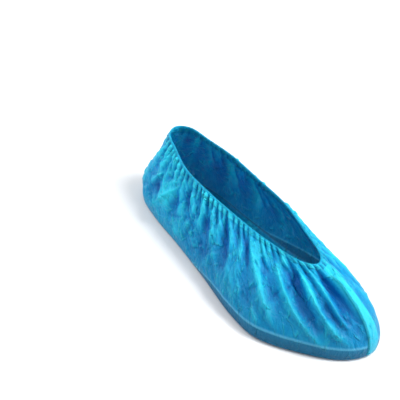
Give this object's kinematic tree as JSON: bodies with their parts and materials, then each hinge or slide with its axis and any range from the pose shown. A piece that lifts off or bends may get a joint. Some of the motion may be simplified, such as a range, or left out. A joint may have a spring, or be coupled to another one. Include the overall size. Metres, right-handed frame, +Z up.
{
  "type": "shoe cover",
  "caption": "Disposable blue film overshoe in its worn form: hollow and open at the top, with a gathered elastic hem and welded seams up the toe and the heel.",
  "frame": {"origin": "on the floor, under the middle of the cover's box", "axes": "+X from the heel to the toe, +Y to the wearer's left, +Z up from the floor"},
  "size_m": [0.3162, 0.1274, 0.0767],
  "materials": {
    "film": "thin embossed polyethylene film, soft sheen",
    "hem_film": "the same film, folded double or welded",
    "elastic": "matte covered elastic thread"
  },
  "bodies": {
    "root": {"film_body": "film", "elastic_hem": "hem_film", "elastic_band": "elastic", "toe_weld": "hem_film", "heel_weld": "hem_film"}
  },
  "joints": []
}
